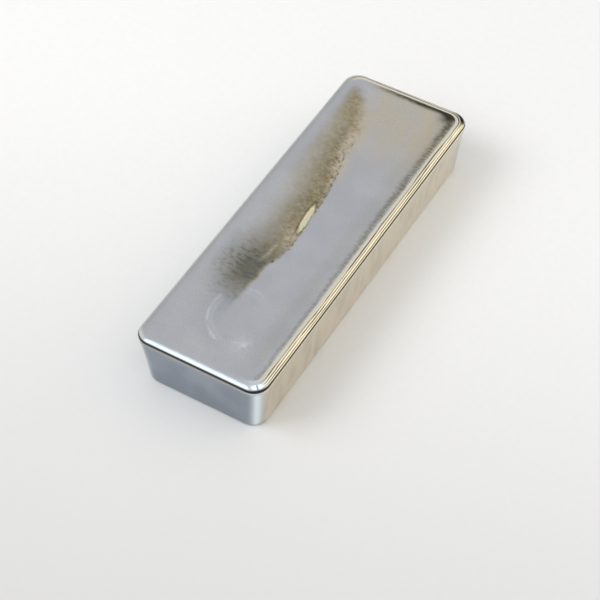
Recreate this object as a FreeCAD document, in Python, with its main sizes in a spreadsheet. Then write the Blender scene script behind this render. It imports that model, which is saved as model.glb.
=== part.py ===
import FreeCAD, Part
import os

# A cast indium ingot: one solid bar, poured into an open mould.
#
# The bar is a rectangular trapezoid, widest near its open (top) side. Its upright corners are round
# in plan and its walls lean in towards the foot. The metal drew up into a rounded rim all round the
# top, and the field inside the rim sank into a shallow dish as it froze.
#
# Frame: +X along the bar, +Y across it, +Z up. The origin is at the centre of the foot, which lies
# on z = 0. Lengths are in millimetres and angles in degrees.

NODE = "ingot"

SIZES = {
    "overall_length": 178.0,
    "overall_width": 60.0,
    "overall_height": 28.0,
    "wall_lean": 5.5,
    "corner_radius": 7.2,
    "foot_edge_radius": 1.4,
    "rim_width": 4.6,
    "rim_outer_radius": 2.6,
    "rim_crest_radius": 2.0,
    "dish_depth": 1.5,
    "dish_slope_run": 4.0,
    "dish_corner_radius": 6.0,
    "dish_floor_radius": 6.0,
}

# Expressions on the sheet. The rim's round takes a little off the sharp top edge that it is rolled
# onto, so the wedge starts that much wider at the top than the finished bar.
LEAN = "(Sizes.wall_lean * 1 deg)"
RIM_SETBACK = f"Sizes.rim_outer_radius * (tan({LEAN}) + 1 / cos({LEAN}) - 1)"
TOP_HALF_LENGTH = f"(Sizes.overall_length / 2 + {RIM_SETBACK})"
TOP_HALF_WIDTH = f"(Sizes.overall_width / 2 + {RIM_SETBACK})"
FOOT_INSET = f"(Sizes.overall_height * tan({LEAN}))"
MOUTH_INSET = "Sizes.rim_width"
FLOOR_INSET = "(Sizes.rim_width + Sizes.dish_slope_run)"

# How close two lengths must be to count as equal when an edge is looked up by where it lies.
NEAR = 0.01


def add_sheet(doc):
    """The driving dimensions, one named cell for each."""
    sheet = doc.addObject("Spreadsheet::Sheet", "Sizes")
    for row, (name, value) in enumerate(SIZES.items(), start=1):
        sheet.set(f"A{row}", name)
        sheet.set(f"B{row}", str(value))
        sheet.setAlias(f"B{row}", name)
    doc.recompute()


def origin_plane(body, role):
    """One of the body's own origin planes, found by its role."""
    for feature in body.Origin.OriginFeatures:
        if feature.Role == role:
            return feature
    raise ValueError(f"no origin plane {role}")


def add_wedge(body, kind, name, low, high, low_inset, high_inset):
    """A four-sided wedge about the Z axis, added or cut away.

    low and high are the heights of its lower and upper faces. Each face is the bar's sharp top
    outline drawn in by its inset.
    """
    wedge = body.newObject(kind, name)
    # On this plane the wedge's own Y runs up the body's Z, and its own Z runs along -Y.
    wedge.AttachmentSupport = [(origin_plane(body, "XZ_Plane"), "")]
    wedge.MapMode = "FlatFace"
    low_x = f"({TOP_HALF_LENGTH} - {low_inset})"
    low_y = f"({TOP_HALF_WIDTH} - {low_inset})"
    high_x = f"({TOP_HALF_LENGTH} - {high_inset})"
    high_y = f"({TOP_HALF_WIDTH} - {high_inset})"
    bounds = {
        "Ymin": low,
        "Ymax": high,
        "Xmin": f"-{low_x}",
        "Xmax": low_x,
        "Zmin": f"-{low_y}",
        "Zmax": low_y,
        "X2min": f"-{high_x}",
        "X2max": high_x,
        "Z2min": f"-{high_y}",
        "Z2max": high_y,
    }
    for bound, expression in bounds.items():
        wedge.setExpression(bound, expression)
    body.Document.recompute()
    return wedge


def lies_within(box, wedge):
    """Whether an edge's box lies inside a wedge's outline in plan."""
    reach_x = max(wedge.Xmax, wedge.X2max).Value + NEAR
    reach_y = max(wedge.Zmax, wedge.Z2max).Value + NEAR
    inside_x = -reach_x < box.XMin and box.XMax < reach_x
    inside_y = -reach_y < box.YMin and box.YMax < reach_y
    return inside_x and inside_y


def edge_names(shape, low, high, wedge, hole):
    """The edges from height low to height high that lie within a wedge but not within its hole."""
    names = []
    for number, edge in enumerate(shape.Edges, start=1):
        box = edge.BoundBox
        heights_fit = abs(box.ZMin - low) < NEAR and abs(box.ZMax - high) < NEAR
        in_hole = hole is not None and lies_within(box, hole)
        if heights_fit and lies_within(box, wedge) and not in_hole:
            names.append(f"Edge{number}")
    return names


def add_round(body, name, wedge, where, radius, hole=None):
    """A fillet along the corners, the upper edges or the lower edges that a wedge left."""
    base = body.Tip
    bottom = wedge.Ymin.Value
    top = wedge.Ymax.Value
    low, high = {"corners": (bottom, top), "upper": (top, top), "lower": (bottom, bottom)}[where]
    fillet = body.newObject("PartDesign::Fillet", name)
    fillet.Base = (base, edge_names(base.Shape, low, high, wedge, hole))
    fillet.setExpression("Radius", f"Sizes.{radius}")
    body.Document.recompute()


def add_ingot(body):
    """The leaning walls, the dish sunk into their top, and then the rounds of the rim between."""
    foot = "0"
    top = "Sizes.overall_height"
    bar = add_wedge(body, "PartDesign::AdditiveWedge", "Bar", foot, top, FOOT_INSET, "0")
    add_round(body, "BarCorners", bar, "corners", "corner_radius")
    add_round(body, "FootEdge", bar, "lower", "foot_edge_radius")

    floor = "Sizes.overall_height - Sizes.dish_depth"
    dish = add_wedge(body, "PartDesign::SubtractiveWedge", "Dish", floor, top, FLOOR_INSET, MOUTH_INSET)
    add_round(body, "DishCorners", dish, "corners", "dish_corner_radius")
    add_round(body, "RimOuterRound", bar, "upper", "rim_outer_radius", hole=dish)
    add_round(body, "RimCrest", dish, "upper", "rim_crest_radius")
    add_round(body, "DishFloorRound", dish, "lower", "dish_floor_radius")


def check(doc, body):
    """Stops if any step failed or if the ingot isn't one valid solid."""
    for thing in doc.Objects:
        if "Invalid" in thing.State or "Error" in thing.State:
            raise RuntimeError(f"{thing.Label} did not build: {thing.State}")
    shape = body.Shape
    if shape.isNull() or not shape.isValid() or len(shape.Solids) != 1:
        raise RuntimeError(f"{body.Label} is not one valid solid")
    box = shape.BoundBox
    print(f"{body.Label}: {box.XLength:.2f} x {box.YLength:.2f} x {box.ZLength:.2f} mm")
    print(f"{body.Label}: {shape.Volume:.0f} cubic mm")


def main():
    doc = FreeCAD.newDocument("IndiumIngot")
    add_sheet(doc)
    ingot = doc.addObject("PartDesign::Body", "Ingot")
    ingot.Label = NODE
    ingot.Placement = FreeCAD.Placement()
    add_ingot(ingot)
    doc.recompute()
    check(doc, ingot)
    os.makedirs("parts", exist_ok=True)
    ingot.Shape.exportStep(f"parts/{NODE}.step")


main()
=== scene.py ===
import math

import bpy
import numpy as np
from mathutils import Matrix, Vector


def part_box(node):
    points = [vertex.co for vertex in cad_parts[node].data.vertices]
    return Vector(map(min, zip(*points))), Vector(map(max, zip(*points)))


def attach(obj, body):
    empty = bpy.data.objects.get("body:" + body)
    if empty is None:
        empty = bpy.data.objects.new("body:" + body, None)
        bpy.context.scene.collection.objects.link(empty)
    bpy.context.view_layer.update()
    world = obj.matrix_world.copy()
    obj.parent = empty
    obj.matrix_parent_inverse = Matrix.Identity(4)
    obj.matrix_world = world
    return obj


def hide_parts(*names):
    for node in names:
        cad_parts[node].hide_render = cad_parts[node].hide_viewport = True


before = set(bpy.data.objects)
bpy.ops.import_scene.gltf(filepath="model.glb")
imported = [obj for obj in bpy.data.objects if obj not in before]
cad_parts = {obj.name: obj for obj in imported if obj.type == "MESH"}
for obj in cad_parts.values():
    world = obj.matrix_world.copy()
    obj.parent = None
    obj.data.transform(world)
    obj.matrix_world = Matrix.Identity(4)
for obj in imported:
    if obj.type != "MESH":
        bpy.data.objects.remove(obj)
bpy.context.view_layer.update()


# ---------------------------------------------------------------- sizes

# Sizes are in millimetres, taken to metres by MM, and angles are in radians. X runs along the bar, Y
# across it and Z up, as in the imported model. The outside sizes come from the CAD node's box, and the
# rest are the casting's own. Near and far are the ends at -X and +X, and right and left are the sides
# at -Y and +Y, as the camera sees them.
MM = 0.001
low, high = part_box("ingot")
LENGTH, WIDTH, HEIGHT = [(top - bottom) / MM for bottom, top in zip(low, high)]

LEAN = math.radians(5.5)
CORNER_RADIUS = 7.2
FOOT_RADIUS = 1.4
RIM_RADIUS = 2.6
CROWN_INSET = 4.3
CROWN_CORNER_RADIUS = 5.0

# The rim's round takes this much off the sharp top edge, so that edge starts further out.
RIM_SETBACK = RIM_RADIUS * (math.tan(LEAN) + 1 / math.cos(LEAN) - 1)
TOP_X = LENGTH / 2 + RIM_SETBACK
TOP_Y = WIDTH / 2 + RIM_SETBACK
HALF_X = TOP_X - CROWN_INSET
HALF_Y = TOP_Y - CROWN_INSET

# The top sinks from the crown into a dish, and then further into a wide bowl. The runs say how far in
# from each side of the crown that takes, and how far in the marks on the top fade in.
DISH_DEPTH = 1.5
BOWL_DEPTH = 0.45
DISH_RUNS = {"near": 12.0, "far": 10.0, "right": 12.0, "left": 13.0}
BOWL_RUNS = {"near": 30.0, "far": 30.0, "right": 22.0, "left": 22.0}
MARK_RUNS = {"near": 7.0, "far": 7.0, "right": 5.0, "left": 5.0}

# Cells of the top's grid inside the rim: along a straight side, across, and in a round corner. Then
# cells down the bead, the wall and the foot's edge.
CELLS_X, CELLS_Y, CELLS_CORNER = 300, 104, 8
CELLS_BEAD, CELLS_WALL, CELLS_FOOT = 30, 14, 6

# The ragged ridge where the last metal froze, as places (x, y) that it passes through.
RIDGE = [
    (-42, 3.5), (-27, 2.5), (-19, -0.8), (-6, 0), (16, 1.7),
    (29, 3.5), (41, 6.4), (63, 8.4), (80, 19),
]

# The sunk hollow beside the ridge and the ring-shaped mark near the near end, which are ovals with
# these half lengths and half widths, and the pit.
HOLLOW_CENTRE, HOLLOW_LENGTH, HOLLOW_WIDTH, HOLLOW_TURN = (1.5, 2.4), 9.0, 1.6, math.radians(5)
RING_CENTRE, RING_LENGTH, RING_WIDTH, RING_TURN = (-58.5, -1.5), 15.5, 12.5, math.radians(20)
PIT = (-26, 2.5)

# The stretches of x that marks along the ridge cover: where they fade in and where they fade out.
STAIN_STRETCH = (-56, -34), (74, 84)
TAN_STRETCH = (20, 34), (62, 78)
CRACK_STRETCH = (-24, -18), (44, 54)
SPECK_STRETCH = (-26, -20), (40, 52)

# The two right-hand corners of the rim: the one with a painted highlight at the near end, the one with
# painted dark shade at the far end, and a painted black shade spot on the bead outside the dark one.
# Each has its place (x, y) and its spread.
HIGHLIGHT_CORNER, HIGHLIGHT_SPREAD = (-84, -25), 7
SHADED_CORNER, SHADED_SPREAD = (83, -22.5), 3.6
SHADE_SPOT, SHADE_SPOT_SPREAD = (83, -24), 4.5

COLOURS = {
    "field": (0.60, 0.615, 0.65),
    "field_light": (0.66, 0.67, 0.70),
    # The slate near wall and the beige right wall are painted reflections of the surroundings.
    "near_wall_painted_reflection": (0.28, 0.32, 0.375),
    "right_wall_painted_reflection": (0.84, 0.755, 0.61),
    "plain_wall": (0.60, 0.61, 0.63),
    "wall_patch": (0.52, 0.46, 0.34),
    # Pale colour of the painted highlights.
    "painted_highlight": (0.82, 0.90, 0.95),
    # The bead colours are painted highlights: pale cyan on the near side's stripe, cream on the right and
    # far sides.
    "cool_bead_highlight": (0.80, 0.87, 0.92),
    "warm_bead_highlight": (0.95, 0.89, 0.73),
    "taupe_bead_shade": (0.42, 0.41, 0.39),
    "warm": (0.72, 0.645, 0.51),
    "stain": (0.42, 0.355, 0.205),
    "stain_dark": (0.19, 0.155, 0.08),
    "grain": (0.13, 0.142, 0.135),
    "gold": (0.56, 0.47, 0.27),
    "tan": (0.78, 0.67, 0.52),
    "hollow": (0.90, 0.86, 0.66),
    "ring": (0.84, 0.86, 0.90),
    "groove_shade": (0.23, 0.20, 0.105),
    "speckle": (0.3, 0.31, 0.33),
    # Near black for the painted shade lines in folds, creases and the dark corner.
    "shade_line": (0.045, 0.038, 0.03),
    "paper_close_shade": (0.66, 0.655, 0.65),
    "paper_far": (0.885, 0.878, 0.87),
    "paper_grain": (0.6, 0.6, 0.62),
    "sky_low": (0.80, 0.80, 0.80),
    "sky_high": (0.66, 0.67, 0.69),
}

# The marks that the mesh carries, from 0 to 1 at each point, for the material to colour.
MASKS = [
    "stain", "stain_dark", "tan", "grain", "hollow", "dark_specks_and_shade", "ring", "warm", "groove_shade", "bead", "wall",
    "cool_reflection_share", "shade_line", "painted_highlight", "plain", "taupe_bead_shade",
]

# The surroundings' lights and shades: direction, where each starts and is full (as the cosine of the
# angle from that direction), and colour.
SKY_LOBES = [
    ((-0.64, 0.32, 0.69), 0.90, 0.97, (1.22, 1.30, 1.36)),
    ((0.50, -0.72, 0.45), 0.80, 0.94, (1.25, 1.16, 0.97)),
    ((0.50, 0.76, 0.38), 0.90, 0.98, (0.59, 0.575, 0.53)),
    ((0.97, -0.12, 0.12), 0.88, 0.96, (0.20, 0.18, 0.15)),
    ((0.50, -0.42, 0.76), 0.925, 0.98, (1.08, 1.01, 0.87)),
    ((-0.14, -0.38, 0.91), 0.90, 0.975, (1.30, 1.35, 1.38)),
]


# ---------------------------------------------------------------- helpers for shape

def soft_step(start, end, value):
    """0 at start, 1 at end, and a soft ramp between."""
    ratio = np.clip((value - start) / (end - start), 0.0, 1.0)
    return ratio * ratio * (3 - 2 * ratio)


def stretch_of(value, stretch):
    """1 along a stretch, fading in and out at its ends."""
    fade_in, fade_out = stretch
    return soft_step(*fade_in, value) * (1 - soft_step(*fade_out, value))


def bell(value, spread):
    """1 where value is 0, falling away on both sides."""
    return np.exp(-((value / spread) ** 2))


def spot(x, y, centre, spread):
    """1 at a place, falling away all round it."""
    return bell(np.hypot(x - centre[0], y - centre[1]), spread)


def noise(x, y, cell, seed):
    """Smooth noise from -1 to 1 over the plane, the same on each run. cell is its grain in mm."""
    lattice = np.random.default_rng(seed).uniform(-1, 1, (256, 256))
    # The offsets only choose which stretch of the lattice the bar gets.
    px = np.asarray(x) / cell + 131.7
    py = np.asarray(y) / cell + 71.3
    ix = np.floor(px).astype(int)
    iy = np.floor(py).astype(int)
    fx = px - ix
    fy = py - iy
    fx = fx * fx * (3 - 2 * fx)
    fy = fy * fy * (3 - 2 * fy)

    def corner(dx, dy):
        return lattice[(ix + dx) % 256, (iy + dy) % 256]

    near = corner(0, 0) * (1 - fx) + corner(1, 0) * fx
    far = corner(0, 1) * (1 - fx) + corner(1, 1) * fx
    return near * (1 - fy) + far * fy


def layered(x, y, cell, seed):
    """Noise with two layers of finer noise on it, from about -1 to 1."""
    total = 0.0
    for layer in range(3):
        total = total + noise(x, y, cell / 2 ** layer, seed + layer) / 2 ** layer
    return total / 1.6


def oval(x, y, centre, length, width, turn):
    """Distance from an oval's centre, as a share of its edge's distance."""
    dx = x - centre[0]
    dy = y - centre[1]
    u = (dx * math.cos(turn) + dy * math.sin(turn)) / length
    v = (-dx * math.sin(turn) + dy * math.cos(turn)) / width
    return np.hypot(u, v)


# ---------------------------------------------------------------- the outline and the rim's section

def arc(centre, half_width, half_height, start, end, count):
    """Points on an arc of an ellipse in the plane of (outward, up), angles from outward."""
    angles = np.linspace(start, end, count + 1)
    return centre[0] + half_width * np.cos(angles), centre[1] + half_height * np.sin(angles)


def rim_section():
    """The section from the rim's crown out over the bead and down to the foot.

    It gives each station's inset from the sharp top outline and its height, and which part of the
    section it belongs to.
    """
    bead_width = CROWN_INSET - RIM_SETBACK
    bead_centre = (-CROWN_INSET, HEIGHT - RIM_RADIUS)
    bead_end = -math.atan(math.tan(LEAN) * RIM_RADIUS / bead_width)
    bead_out, bead_up = arc(bead_centre, bead_width, RIM_RADIUS, math.pi / 2, bead_end, CELLS_BEAD)

    foot_inset = HEIGHT * math.tan(LEAN) + FOOT_RADIUS * (1 / math.cos(LEAN) - math.tan(LEAN))
    foot_centre = (-foot_inset, FOOT_RADIUS)
    foot_out, foot_up = arc(foot_centre, FOOT_RADIUS, FOOT_RADIUS, -LEAN, -math.pi / 2, CELLS_FOOT)

    wall_out = np.linspace(bead_out[-1], foot_out[0], CELLS_WALL + 1)
    wall_up = np.linspace(bead_up[-1], foot_up[0], CELLS_WALL + 1)

    stretches = [("bead", bead_out, bead_up), ("wall", wall_out, wall_up), ("foot", foot_out, foot_up)]
    insets, heights, parts = [], [], []
    for part, outs, ups in stretches:
        insets.extend(-outs[1:])
        heights.extend(ups[1:])
        parts.extend([part] * (len(outs) - 1))
    return np.array(insets), np.array(heights), parts


def place(ax, ay, qx, qy, inset, radius):
    """A point of the rounded rectangle with this inset and corner radius.

    (ax, ay) says how far it is along the straight sides, from -1 to 1, and (qx, qy) is where it is in
    its round corner, in corner radii.
    """
    x = ax * (TOP_X - inset - radius) + qx * radius
    y = ay * (TOP_Y - inset - radius) + qy * radius
    return x, y


def corner_disc(px, py):
    """Takes a square grid of outward steps, 0 to 1, onto a quarter disc."""
    reach = np.maximum(px, py)
    smaller = np.minimum(px, py)
    ratio = np.divide(smaller, reach, out=np.zeros_like(reach), where=reach > 0)
    turn = math.pi / 4 * ratio
    angle = np.where(px >= py, turn, math.pi / 2 - turn)
    return reach * np.cos(angle), reach * np.sin(angle)


def axis_steps(cells):
    """Along one axis: the place on the straight side, and the signed step into the round corner."""
    straight = np.linspace(-1, 1, cells + 1)
    corner = np.arange(CELLS_CORNER, 0, -1) / CELLS_CORNER
    along = np.concatenate([np.full(CELLS_CORNER, -1.0), straight, np.full(CELLS_CORNER, 1.0)])
    step = np.concatenate([-corner, np.zeros(cells + 1), corner[::-1]])
    return along, step


def field_grid():
    """The top's grid inside the crown, in the terms that place() takes."""
    along_x, step_x = axis_steps(CELLS_X)
    along_y, step_y = axis_steps(CELLS_Y)
    ax, ay = np.meshgrid(along_x, along_y, indexing="ij")
    sx, sy = np.meshgrid(step_x, step_y, indexing="ij")
    disc_x, disc_y = corner_disc(np.abs(sx), np.abs(sy))
    return ax, ay, np.sign(sx) * disc_x, np.sign(sy) * disc_y


def boundary(grid):
    """The grid's outer loop of points, anticlockwise seen from above."""
    return np.concatenate([grid[:-1, 0], grid[-1, :-1], grid[:0:-1, -1], grid[0, :0:-1]])


# ---------------------------------------------------------------- the frozen top

def ridge_line(x):
    """The y of the shrinkage ridge at x, ragged as the photo shows it."""
    xs = [place_x for place_x, _ in RIDGE]
    ys = [place_y for _, place_y in RIDGE]
    shifts = (-4, -2, 0, 2, 4)
    smooth = sum(np.interp(x + shift, xs, ys) for shift in shifts) / len(shifts)
    return smooth + 0.4 * noise(x, 0 * x, 3.1, seed=11) + 0.3 * noise(x, 0 * x, 1.1, seed=12)


def sunk_share(sides, runs):
    """0 at the crown, and 1 further in from each side than its run."""
    share = 1.0
    for side, run in runs.items():
        share = share * soft_step(0, run, sides[side])
    return share


def stain_marks(x, y, beyond, inside):
    """The olive stain on the left of the ridge, with its dark, tan and grey patches, and its relief.

    beyond is how far a point is to the left of the ridge.
    """
    along = stretch_of(x, STAIN_STRETCH)
    feather = soft_step(24, 44, x)
    ragged = beyond + (0.45 + 0.8 * feather) * layered(x, y, 1.6, seed=19)
    sheet = soft_step(-0.5 - 2.2 * feather, 1.3 + 2.5 * feather, ragged)
    fade = 1 - soft_step(5, 23, beyond + 2.0 * layered(x, y, 12, seed=21))
    stain = sheet * fade * along * inside

    # The stain is dark in patches near the ridge, and greenest about x = 34.
    patchy = 0.5 + 0.5 * layered(x * 0.5, y, 5.0, seed=31)
    green = bell(x - 34, 9) * bell(beyond - 3, 3.5)
    stain_dark = stain * np.clip(bell(beyond - 5, 7) * (0.1 + 0.9 * patchy) + 0.7 * green, 0, 1)

    # Bare tan metal: along the ridge, about the near end of the hollow, in a slanting streak beside the
    # pit, in flecks on the ridge and in one long scratch.
    beside_ridge = bell(beyond - 0.8, 3.4) * stretch_of(x, TAN_STRETCH)
    beside_ridge = np.clip(beside_ridge * (0.85 + 0.8 * layered(x, y, 2.6, seed=41)), 0, 1)
    gold = bell(np.hypot(x + 11, (y - 2.2) * 1.4), 6.5) * sheet * (0.65 + 0.6 * layered(x, y, 1.8, seed=45))
    streak = bell(beyond - 5.5 - 0.10 * (x + 22), 0.9) * bell(x + 22, 5)
    flecks = bell(beyond - 1.0, 1.2) * bell(x - 14, 17) * soft_step(0.1, 0.5, noise(x, y, 0.8, seed=47))
    scratch = bell(y - 3 - 0.64 * (x - 13), 0.3) * bell(x - 18.5, 6)
    tan = beside_ridge + 0.9 * np.clip(gold, 0, 1) + 0.6 * streak + 0.9 * flecks + 0.4 * scratch

    # The grey patch at the near end of the stain, with its dark ticks.
    grain_zone = bell(x + 34, 17) * bell(y - 9, 12) * soft_step(0.2, 2, beyond)
    ticks = soft_step(0.0, 0.7, noise(x, y * 0.45, 0.9, seed=51) + 0.5 * noise(x, y, 2.1, seed=52))
    grain = np.clip(grain_zone * (0.8 + 0.5 * ticks), 0, 1)

    # The metal sank a little beside the ridge and froze rough in the stain.
    trough = -0.20 * sheet * (1 - soft_step(0, 17, beyond)) * along
    rough = 0.05 * layered(x, y, 1.7, seed=81) * stain + 0.05 * (ticks - 0.5) * grain_zone
    masks = {
        "stain": stain,
        "stain_dark": stain_dark,
        "tan": np.clip(tan, 0, 1) * inside,
        "grain": grain * inside,
    }
    return masks, trough + rough


def ridge_marks(x, y, beyond, inside):
    """The outlined hollow, the pit, the cracks and specks along the ridge, their relief, and the painted
    dark shade in the pit, the cracks and the hollow's outline.
    """
    within = oval(x, y, HOLLOW_CENTRE, HOLLOW_LENGTH, HOLLOW_WIDTH, HOLLOW_TURN)
    within = within + 0.12 * noise(x, y, 1.4, seed=61)
    hollow = 1 - soft_step(0.78, 1.0, within)
    outline = bell(within - 1.12, 0.2) * soft_step(-0.6, 0.8, y - HOLLOW_CENTRE[1])

    from_pit = np.hypot(x - PIT[0], (y - PIT[1]) * 1.2) + 0.25 * noise(x, y, 0.8, seed=65)
    pit = 1 - soft_step(0.4, 1.0, from_pit)

    crack = bell(beyond - 0.2, 0.4) * stretch_of(x, CRACK_STRETCH)
    crack = crack * soft_step(0.0, 0.5, noise(x, y, 1.5, seed=67))
    specks = bell(beyond - 1.6, 1.6) * stretch_of(x, SPECK_STRETCH)
    specks = specks * soft_step(0.35, 0.7, noise(x, y, 0.9, seed=68))

    # Painted dark shade in the hollow's outline, the pit and the cracks, together with the dark specks.
    dark_specks_and_shade = np.clip(np.maximum.reduce([0.95 * outline, pit, 0.9 * crack, 0.75 * specks]), 0, 1)
    dark_specks_and_shade = dark_specks_and_shade * (1 - hollow)
    return {"hollow": hollow, "dark_specks_and_shade": dark_specks_and_shade * inside}, -0.75 * hollow - 0.5 * pit - 0.10 * dark_specks_and_shade


def ring_mark(x, y, inside):
    """The faint ring by the near end, worn away on its right, with a pale patch at its near right."""
    ring_at = oval(x, y, RING_CENTRE, RING_LENGTH, RING_WIDTH, RING_TURN)
    ring_at = ring_at + 0.03 * layered(x, y, 5, seed=73)
    ring = 0.8 * bell(ring_at - 1, 0.05) + 0.35 * bell(ring_at - 0.86, 0.04)
    to_right = 0.35 * (x - RING_CENTRE[0]) - 0.94 * (y - RING_CENTRE[1])
    unbroken = soft_step(-0.6, 0.5, layered(x, y, 5, seed=71)) * (1 - soft_step(4, 10, to_right))
    pale = bell(np.hypot((x + 70) * 0.8, y + 9.5), 3.4) * (0.6 + 0.6 * layered(x, y, 1.6, seed=75))
    return {"ring": np.clip(ring * unbroken + 0.9 * pale, 0, 1) * inside}


def edge_marks(x, y, sides):
    """The warm far end, the painted dark shade along the right and far sides of the crown, and the painted
    highlight band along its right side.
    """
    warm = soft_step(26, 74, x) * soft_step(21, 6, y) * (0.85 + 0.5 * layered(x * 0.5, y, 3, seed=79))

    toward_far = soft_step(-70, 84, x)
    fringe = 0.5 * noise(x, y * 0.35, 0.7, seed=77) + 0.4 * noise(x, y, 4, seed=78)
    right_line = bell(sides["right"] - 1.1 - 0.8 * toward_far + fringe, 0.8 + 1.1 * toward_far)
    right_line = right_line * (0.50 + 0.50 * toward_far)
    far_line = bell(sides["far"] - 0.6 + 0.4 * fringe, 1.1) * soft_step(21, 6, y)
    corner = spot(x, y, SHADED_CORNER, SHADED_SPREAD)
    # Painted dark shade in the fringe along the right and far sides and in the far right corner.
    groove_shade = np.clip(np.maximum.reduce([right_line, 0.95 * far_line, corner]), 0, 1)

    # Painted black shade in the far right corner, along the far edge and at the groove's far end.
    shade_line = np.clip(0.95 * corner + 0.95 * far_line * soft_step(16, -10, y), 0, 0.95)
    shade_line = np.maximum(shade_line, 0.55 * groove_shade * soft_step(62, 84, x) * soft_step(9, 3, sides["right"]))
    return {
        "warm": warm,
        "groove_shade": groove_shade,
        "shade_line": shade_line,
        # A painted cream highlight band on the crown along the right side.
        "bead": 1 - soft_step(-0.2, 0.7, sides["right"]),
        "cool_reflection_share": soft_step(6, 0, sides["near"]),
    }


def top_surface(x, y):
    """Height of the frozen top under the rim's crown, and the masks of its marks."""
    sides = {"near": HALF_X + x, "far": HALF_X - x, "right": HALF_Y + y, "left": HALF_Y - y}
    inside = sunk_share(sides, MARK_RUNS)
    beyond = y - ridge_line(x)
    masks, stain_relief = stain_marks(x, y, beyond, inside)
    more_masks, ridge_relief = ridge_marks(x, y, beyond, inside)
    masks.update(more_masks)
    masks.update(ring_mark(x, y, inside))
    masks.update(edge_marks(x, y, sides))

    ripple = 0.03 * layered(x, y, 16, seed=91)
    sunk = -DISH_DEPTH * sunk_share(sides, DISH_RUNS) - BOWL_DEPTH * sunk_share(sides, BOWL_RUNS)
    height = sunk + (stain_relief + ridge_relief + ripple) * inside
    return height, masks


# ---------------------------------------------------------------- the rim and the walls

def round_the_bar(ax, ay, qx, qy):
    """What the rim and the walls depend on at each place round the bar."""
    mid_x, mid_y = place(ax, ay, qx, qy, CROWN_INSET, CORNER_RADIUS)
    on_side = {"near": -qx, "far": qx, "right": -qy, "left": qy}
    shares = {side: soft_step(0.1, 0.9, facing) for side, facing in on_side.items()}
    return {
        **shares,
        "x": mid_x,
        "y": mid_y,
        "highlight_corner": spot(mid_x, mid_y, HIGHLIGHT_CORNER, HIGHLIGHT_SPREAD),
        "shade_spot": spot(mid_x, mid_y, SHADE_SPOT, SHADE_SPOT_SPREAD),
        "in_corner": (np.abs(qx) > 0) & (np.abs(qy) > 0),
        "near_right": (qx < 0) & (qy < 0),
        "turn": np.degrees(np.arctan2(np.abs(qy), np.abs(qx))),
        "jitter": 0.12 * layered(mid_x, mid_y, 5, seed=103),
    }


def fold_list(around):
    """The folds in the bead, then the crease under it, which runs all round.

    Each has its distance down the section, its width, its depth and how strong it is round the bar.
    """
    wander = 0.34 * layered(around["x"], around["y"], 22, seed=101)
    jitter = around["jitter"]
    folds = [
        (-0.15 + wander + jitter, 0.20, 0.16),
        (0.85 + 0.6 * wander - jitter, 0.16, 0.14),
        (1.80 + 0.4 * wander + jitter, 0.15, 0.12),
    ]
    folded_sides = np.maximum(around["right"], 0.8 * around["far"])
    made = []
    for number, (where, width, depth) in enumerate(folds):
        comes_and_goes = layered(around["x"], around["y"], 13 + 4 * number, seed=107 + 5 * number)
        patch = 0.30 + 0.70 * soft_step(-0.45, 0.25, comes_and_goes)
        made.append((where, width, depth, patch * folded_sides * (1 - around["highlight_corner"])))
    crease_width = 0.40 + 0.25 * around["highlight_corner"]
    crease_share = 1 - 0.45 * np.maximum(around["left"], around["far"])
    made.append((2.95 + 0.2 * jitter, crease_width, 0.32, crease_share))
    return made


def ring_relief(around, folds, part, travelled, height):
    """How deep one ring of the section lies under the smooth casting, and the painted dark shade lines in
    its folds and crease.
    """
    depth = np.zeros_like(around["x"])
    shade_line = np.zeros_like(around["x"])
    if part in ("bead", "wall"):
        for where, width, deep, share in folds:
            fold = bell(travelled - where, width) * share
            depth = depth + deep * fold
            # Painted dark shade in each fold and in the crease.
            shade_line = np.maximum(shade_line, np.clip(1.9 * fold, 0, 1))
        wrinkle = 0.12 * (1 + layered(around["x"], around["y"], 4.5, seed=121))
        depth = depth + wrinkle * bell(travelled - 1.5, 0.9) * around["near"]
    if part == "wall":
        fade = bell(height - HEIGHT / 2, HEIGHT / 3)
        uneven = 1 + layered(around["x"], around["y"] + height, 26, seed=111)
        depth = depth + 0.10 * uneven * fade
    return depth, shade_line


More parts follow.
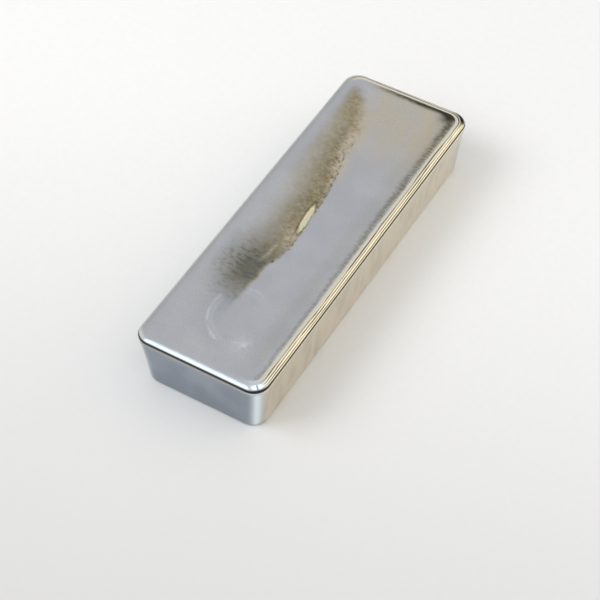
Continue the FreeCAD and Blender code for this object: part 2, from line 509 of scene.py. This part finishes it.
def ring_marks(around, shade_line, part, travelled):
    """The masks of one ring of the section."""
    is_bead = float(part == "bead")
    is_wall = float(part in ("wall", "foot"))
    highlight_corner = around["highlight_corner"]

    # The near bead's stripe and the highlight corner get the painted cool highlight.
    stripe = np.maximum(bell(travelled - 1.6, 0.8), highlight_corner)
    bead = is_bead * np.clip(around["right"] + around["near"] * stripe + 0.9 * around["far"], 0, 1)
    # Below the stripe, the near bead gets a painted taupe shade band.
    below_stripe = soft_step(2.0, 2.5, travelled + around["jitter"])
    taupe_bead_shade = is_bead * around["near"] * below_stripe * (1 - highlight_corner)

    # Painted highlights: a pale strip down the walls' corners, a line under the near crease and a patch on
    # the highlight corner's bead.
    strip = bell(around["turn"] - 42, 17) * around["in_corner"] * (0.25 + 0.75 * around["near_right"])
    under_crease = 0.6 * bell(travelled - 3.8, 0.28) * around["near"]
    on_bead = soft_step(2.5, 2.1, travelled) * soft_step(-0.4, 0.6, travelled)
    painted_highlight = np.clip(strip * is_wall + under_crease + is_bead * highlight_corner * on_bead, 0, 1)

    # A small upright line of painted shade at the highlight corner.
    upright = 0.85 * (np.abs(around["turn"] - 45) < 3) * highlight_corner
    upright = upright * soft_step(0.0, 0.5, travelled) * soft_step(2.5, 2.0, travelled)
    # A painted black shade spot on the bead at the far right corner.
    shade_spot = np.clip(1.3 * around["shade_spot"] * bell(travelled - 1.3, 0.75), 0, 1) * is_bead
    return {
        "bead": bead,
        "taupe_bead_shade": taupe_bead_shade,
        "painted_highlight": painted_highlight,
        "shade_line": np.maximum.reduce([shade_line, upright, shade_spot]),
        "wall": np.full_like(shade_line, is_wall),
        "cool_reflection_share": around["near"],
        "plain": is_wall * np.clip(around["left"] + around["far"], 0, 1),
    }


def rim_rings(ax, ay, qx, qy):
    """The loops of points from the top's edge over the rim and down to the foot, and their masks."""
    insets, heights, parts = rim_section()
    run = np.gradient(insets)
    rise = np.gradient(heights)
    length = np.hypot(run, rise)
    normal_out = -rise / length
    normal_up = -run / length
    # Distances down the section start at the brow of the bead, this far past the crown.
    brow = 1.4
    travelled = np.cumsum(length) - (length[0] + brow)

    around = round_the_bar(ax, ay, qx, qy)
    folds = fold_list(around)
    loops = []
    masks = []
    for station, part in enumerate(parts):
        radius = CORNER_RADIUS
        if part == "bead":
            radius = np.interp(insets[station], [0, CROWN_INSET], [CORNER_RADIUS, CROWN_CORNER_RADIUS])
        depth, shade_line = ring_relief(around, folds, part, travelled[station], heights[station])
        inset = insets[station] + depth * np.abs(normal_out[station])
        height = heights[station] - depth * max(normal_up[station], 0)
        x, y = place(ax, ay, qx, qy, inset, radius)
        loops.append(np.stack([x, y, height], axis=1))
        masks.append(ring_marks(around, shade_line, part, travelled[station]))
    return loops, masks


# ---------------------------------------------------------------- the casting's mesh

def make_casting():
    """The whole ingot as one closed mesh, with its marks as point attributes."""
    ax, ay, qx, qy = field_grid()
    x, y = place(ax, ay, qx, qy, CROWN_INSET, CROWN_CORNER_RADIUS)
    height, field_masks = top_surface(x, y)
    field = np.stack([x, y, HEIGHT + height], axis=2).reshape(-1, 3)

    index = np.arange(x.size).reshape(x.shape)
    corners = [index[:-1, :-1], index[1:, :-1], index[1:, 1:], index[:-1, 1:]]
    faces = np.stack(corners, axis=2).reshape(-1, 4).tolist()

    loops, ring_masks = rim_rings(boundary(ax), boundary(ay), boundary(qx), boundary(qy))
    previous = boundary(index)
    count = len(previous)
    for number in range(len(loops)):
        current = np.arange(count) + x.size + number * count
        band = [previous, current, np.roll(current, -1), np.roll(previous, -1)]
        faces += np.stack(band, axis=1).tolist()
        previous = current
    faces.append(previous[::-1].tolist())

    mesh = bpy.data.meshes.new("ingot_cast")
    mesh.from_pydata((np.concatenate([field] + loops) * MM).tolist(), [], faces)
    mesh.validate()
    for face in mesh.polygons:
        face.use_smooth = True
    for name in MASKS:
        values = [field_masks.get(name, np.zeros_like(x)).reshape(-1)]
        for ring in ring_masks:
            values.append(ring.get(name, np.zeros(count)))
        layer = mesh.attributes.new(name, "FLOAT", "POINT")
        layer.data.foreach_set("value", np.concatenate(values).astype(np.float32))
    casting = bpy.data.objects.new("ingot_cast", mesh)
    bpy.context.collection.objects.link(casting)
    return casting


# ---------------------------------------------------------------- helpers for nodes

def new_material(name):
    """An empty material and its node tree."""
    material = bpy.data.materials.new(name)
    material.use_nodes = True
    material.node_tree.nodes.clear()
    return material, material.node_tree


def add_node(tree, kind, inputs=None, **settings):
    """A new node with its settings and its inputs, which are values or other nodes' sockets."""
    made = tree.nodes.new(kind)
    for name, value in settings.items():
        setattr(made, name, value)
    for key, value in (inputs or {}).items():
        if isinstance(value, bpy.types.NodeSocket):
            tree.links.new(value, made.inputs[key])
        else:
            made.inputs[key].default_value = value
    return made


def mix_colour(tree, share, first, second):
    """One colour laid over another by share. Each may be a socket or a value."""
    made = add_node(tree, "ShaderNodeMix", data_type="RGBA")
    for socket, value in ((made.inputs[0], share), (made.inputs[6], first), (made.inputs[7], second)):
        if isinstance(value, bpy.types.NodeSocket):
            tree.links.new(value, socket)
        else:
            socket.default_value = (*value, 1)
    return made.outputs[2]


def mix_share(tree, share, first, second):
    """One number laid over another by share."""
    return add_node(tree, "ShaderNodeMix", {0: share, 2: first, 3: second}).outputs[0]


def maths(tree, operation, first, second=0.0, third=0.0):
    """A sum, product or other operation on numbers."""
    made = add_node(tree, "ShaderNodeMath", {0: first, 1: second, 2: third}, operation=operation)
    return made.outputs[0]


def ramp(tree, value, start, end, low_value=0.0, high_value=1.0):
    """A soft ramp from low_value at start to high_value at end."""
    inputs = {"Value": value, "From Min": start, "From Max": end, "To Min": low_value, "To Max": high_value}
    return add_node(tree, "ShaderNodeMapRange", inputs, interpolation_type="SMOOTHSTEP").outputs[0]


def grain_of(tree, where, size, detail=2.0, stretch=(1, 1, 1)):
    """Noise from 0 to 1 with its grain size in mm, on the object's own coordinates."""
    scaled = add_node(tree, "ShaderNodeVectorMath", {0: where, 1: stretch}, operation="MULTIPLY").outputs[0]
    inputs = {"Vector": scaled, "Scale": 1 / (size * MM), "Detail": detail}
    return add_node(tree, "ShaderNodeTexNoise", inputs).outputs["Fac"]


# ---------------------------------------------------------------- materials

def wall_colour(tree, mask, where, broad):
    """The mould-smooth walls: a painted slate reflection at the near end, a painted beige reflection on the
    right, and plain where unseen.
    """
    # Painted reflection tints: slate on the near end, beige on the right side.
    colour = mix_colour(tree, mask["cool_reflection_share"], COLOURS["right_wall_painted_reflection"], COLOURS["near_wall_painted_reflection"])
    colour = mix_colour(tree, mask["plain"], colour, COLOURS["plain_wall"])
    colour = mix_colour(tree, ramp(tree, broad, 0.40, 0.75, 0, 0.25), colour, COLOURS["field"])
    drawn = grain_of(tree, where, 5, 3.0, (1, 1, 0.35))
    strong = ramp(tree, drawn, 0.42, 0.72, 0, 0.45)
    faint = ramp(tree, drawn, 0.4, 0.8, 0, 0.10)
    quiet_wall = maths(tree, "MAXIMUM", mask["cool_reflection_share"], mask["plain"])
    return mix_colour(tree, mix_share(tree, quiet_wall, strong, faint), colour, COLOURS["wall_patch"])


def top_colour(tree, mask, where, medium, broad):
    """The frozen top: a grey field with the warm far end, the ring and the layers of the stain."""
    fibre = grain_of(tree, where, 0.9, 4.0, (0.9, 0.45, 1))
    colour = mix_colour(tree, ramp(tree, broad, 0.3, 0.7), COLOURS["field"], COLOURS["field_light"])
    colour = mix_colour(tree, mask["warm"], colour, COLOURS["warm"])
    colour = mix_colour(tree, mask["ring"], colour, COLOURS["ring"])
    layers = [
        ("stain", "stain", ramp(tree, medium, 0.2, 0.7, 0.6, 1.0)),
        ("stain_dark", "stain_dark", ramp(tree, fibre, 0.65, 0.35, 0.25, 0.75)),
        ("stain", "gold", ramp(tree, fibre, 0.45, 0.75, 0.0, 0.45)),
        ("grain", "grain", ramp(tree, fibre, 0.3, 0.7, 0.65, 1.0)),
        ("tan", "tan", ramp(tree, fibre, 0.35, 0.6, 0.6, 0.95)),
    ]
    for name, tint, strength in layers:
        share = maths(tree, "MULTIPLY", mask[name], strength)
        colour = mix_colour(tree, share, colour, COLOURS[tint])
    return colour


def indium_colour(tree, mask, where, fine, medium, broad, smooth_parts):
    """The colour of the whole bar, laid on from the top's field outwards and the painted black shade lines
    last.
    """
    # The bead's painted highlight: cool at the near end, cream elsewhere.
    bead_colour = mix_colour(tree, mask["cool_reflection_share"], COLOURS["warm_bead_highlight"], COLOURS["cool_bead_highlight"])
    dashes = grain_of(tree, where, 0.8, 2.0, (1, 0.3, 1))
    groove_shade_share = maths(tree, "MULTIPLY", mask["groove_shade"], ramp(tree, dashes, 0.35, 0.6, 0.45, 1.0))

    colour = top_colour(tree, mask, where, medium, broad)
    colour = mix_colour(tree, mask["bead"], colour, bead_colour)
    # Painted taupe shade on the near bead under its highlight.
    colour = mix_colour(tree, mask["taupe_bead_shade"], colour, COLOURS["taupe_bead_shade"])
    # Painted dark shade along the crown's right and far edges.
    colour = mix_colour(tree, groove_shade_share, colour, COLOURS["groove_shade"])
    colour = mix_colour(tree, mask["wall"], colour, wall_colour(tree, mask, where, broad))
    colour = mix_colour(tree, mask["painted_highlight"], colour, COLOURS["painted_highlight"])
    colour = mix_colour(tree, mask["hollow"], colour, COLOURS["hollow"])
    # Painted dark shade in the pit, the cracks and the hollow's outline, with the dark specks, in the dark
    # stain colour.
    colour = mix_colour(tree, mask["dark_specks_and_shade"], colour, COLOURS["stain_dark"])

    quiet = maths(tree, "MAXIMUM", smooth_parts, mask["stain"])
    strong = ramp(tree, fine, 0.3, 0.75, 0, 0.26)
    faint = ramp(tree, fine, 0.3, 0.7, 0, 0.06)
    colour = mix_colour(tree, mix_share(tree, quiet, strong, faint), colour, COLOURS["speckle"])
    # Painted black shade in the folds, the crease and the dark corner.
    return mix_colour(tree, mask["shade_line"], colour, COLOURS["shade_line"])


def indium_roughness(tree, mask, fine, broad, smooth_parts):
    """Satin on the frozen top, duller in the stain and the hollow, and near mirror elsewhere."""
    top_rough = maths(tree, "MULTIPLY_ADD", fine, 0.10, 0.29)
    top_rough = maths(tree, "MULTIPLY_ADD", mask["stain"], 0.10, top_rough)
    smooth_rough = maths(tree, "MULTIPLY_ADD", broad, 0.10, 0.08)
    roughness = mix_share(tree, smooth_parts, top_rough, smooth_rough)
    return maths(tree, "MULTIPLY_ADD", mask["hollow"], 0.15, roughness)


def indium_bump(tree, fine, medium, smooth_parts):
    """The fine grain of the frozen top, which almost goes on the bead and the walls."""
    height = maths(tree, "MULTIPLY_ADD", medium, 0.4, fine)
    top_share = maths(tree, "MULTIPLY_ADD", smooth_parts, -0.85, 1.0)
    strength = maths(tree, "MULTIPLY", top_share, 0.22)
    inputs = {"Strength": strength, "Distance": 0.1 * MM, "Height": height}
    return add_node(tree, "ShaderNodeBump", inputs).outputs[0]


def indium_material():
    """Cast indium: satin frozen top with its stains, bright folded bead, and mould-smooth walls."""
    material, tree = new_material("cast_indium")
    mask = {}
    for name in MASKS:
        mask[name] = add_node(tree, "ShaderNodeAttribute", attribute_name=name).outputs["Fac"]
    where = add_node(tree, "ShaderNodeTexCoord").outputs["Object"]
    fine = grain_of(tree, where, 0.45)
    medium = grain_of(tree, where, 2.5, 3.0)
    broad = grain_of(tree, where, 16, 2.0)
    smooth_parts = maths(tree, "MAXIMUM", mask["bead"], mask["wall"])
    shader = add_node(tree, "ShaderNodeBsdfPrincipled", {
        "Base Color": indium_colour(tree, mask, where, fine, medium, broad, smooth_parts),
        "Metallic": 1.0,
        "Roughness": indium_roughness(tree, mask, fine, broad, smooth_parts),
        "Normal": indium_bump(tree, fine, medium, smooth_parts),
    })
    output = add_node(tree, "ShaderNodeOutputMaterial")
    tree.links.new(shader.outputs[0], output.inputs[0])
    return material


def paper_material():
    """Pale studio paper, with painted shade that makes it a little darker close by than far off."""
    material, tree = new_material("pale_floor")
    where = add_node(tree, "ShaderNodeTexCoord").outputs["Object"]
    parts = add_node(tree, "ShaderNodeSeparateXYZ", {0: where})
    # Metres along the floor, away from the camera and a little to its left.
    away = maths(tree, "MULTIPLY_ADD", parts.outputs[1], 0.15, parts.outputs[0])
    # Painted shade darkens the paper close to the camera.
    colour = mix_colour(tree, ramp(tree, away, -0.26, 0.10), COLOURS["paper_close_shade"], COLOURS["paper_far"])
    paper = grain_of(tree, where, 3.0, 3.0)
    colour = mix_colour(tree, ramp(tree, paper, 0.3, 0.7, 0, 0.05), colour, COLOURS["paper_grain"])
    shader = add_node(tree, "ShaderNodeBsdfPrincipled", {"Base Color": colour, "Roughness": 0.9})
    output = add_node(tree, "ShaderNodeOutputMaterial")
    tree.links.new(shader.outputs[0], output.inputs[0])
    return material


# ---------------------------------------------------------------- the scene

def make_floor():
    """A large level floor under the ingot, which is not part of it."""
    half = 3.0
    mesh = bpy.data.meshes.new("floor")
    corners = [(-half, -half, 0), (half, -half, 0), (half, half, 0), (-half, half, 0)]
    mesh.from_pydata(corners, [], [(0, 1, 2, 3)])
    floor = bpy.data.objects.new("floor", mesh)
    bpy.context.collection.objects.link(floor)
    floor.data.materials.append(paper_material())
    return floor


def make_world():
    """Soft studio surroundings: a pale sky, with the lights and shades that the metal mirrors.

    The sky turns from its low to its high colour as a direction's upward share goes from 0.1 to 0.8.
    """
    world = bpy.data.worlds.new("studio")
    bpy.context.scene.world = world
    world.use_nodes = True
    tree = world.node_tree
    tree.nodes.clear()
    where = add_node(tree, "ShaderNodeTexCoord").outputs["Generated"]
    height = add_node(tree, "ShaderNodeSeparateXYZ", {0: where}).outputs[2]
    colour = mix_colour(tree, ramp(tree, height, 0.1, 0.8), COLOURS["sky_low"], COLOURS["sky_high"])
    for direction, start, full, tint in SKY_LOBES:
        aim = tuple(Vector(direction).normalized())
        facing = add_node(tree, "ShaderNodeVectorMath", {0: where, 1: aim}, operation="DOT_PRODUCT")
        colour = mix_colour(tree, ramp(tree, facing.outputs["Value"], start, full), colour, tint)
    background = add_node(tree, "ShaderNodeBackground", {"Color": colour, "Strength": 1.0})
    output = add_node(tree, "ShaderNodeOutputWorld")
    tree.links.new(background.outputs[0], output.inputs[0])


def aim_at(thing, target):
    """Turns a lamp or camera, which look along their own -Z, towards a point."""
    thing.rotation_euler = (Vector(target) - thing.location).to_track_quat("-Z", "Y").to_euler()


def make_key():
    """One large soft lamp from beyond the ingot's near left corner."""
    lamp = bpy.data.lights.new("key", "AREA")
    lamp.shape = "SQUARE"
    lamp.size = 1.2
    lamp.energy = 17
    key = bpy.data.objects.new("key", lamp)
    bpy.context.collection.objects.link(key)
    key.location = (-0.9, 1.2, 1.5)
    aim_at(key, (0, 0, 0))
    # The lamp lights the paper and casts the shadow. The metal mirrors the surroundings instead.
    key.visible_glossy = False


def make_camera():
    """The camera nearest to the photograph's view, from above the near right corner."""
    elevation = math.radians(50)
    azimuth = math.radians(30.5)
    distance = 4.243 * LENGTH * MM
    target = Vector((-0.1825, -0.0812, 0.1)) * LENGTH * MM
    level = math.cos(elevation)
    forward = Vector((level * math.cos(azimuth), level * math.sin(azimuth), -math.sin(elevation)))
    data = bpy.data.cameras.new("camera")
    data.sensor_width = 36
    data.lens = 111
    camera = bpy.data.objects.new("camera", data)
    bpy.context.collection.objects.link(camera)
    camera.location = target - forward * distance
    aim_at(camera, target)
    bpy.context.scene.camera = camera


make_camera()
make_world()
make_key()
make_floor()

ingot = make_casting()
ingot.data.materials.append(indium_material())
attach(ingot, "root")
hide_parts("ingot")

bpy.context.scene.view_settings.view_transform = "Standard"
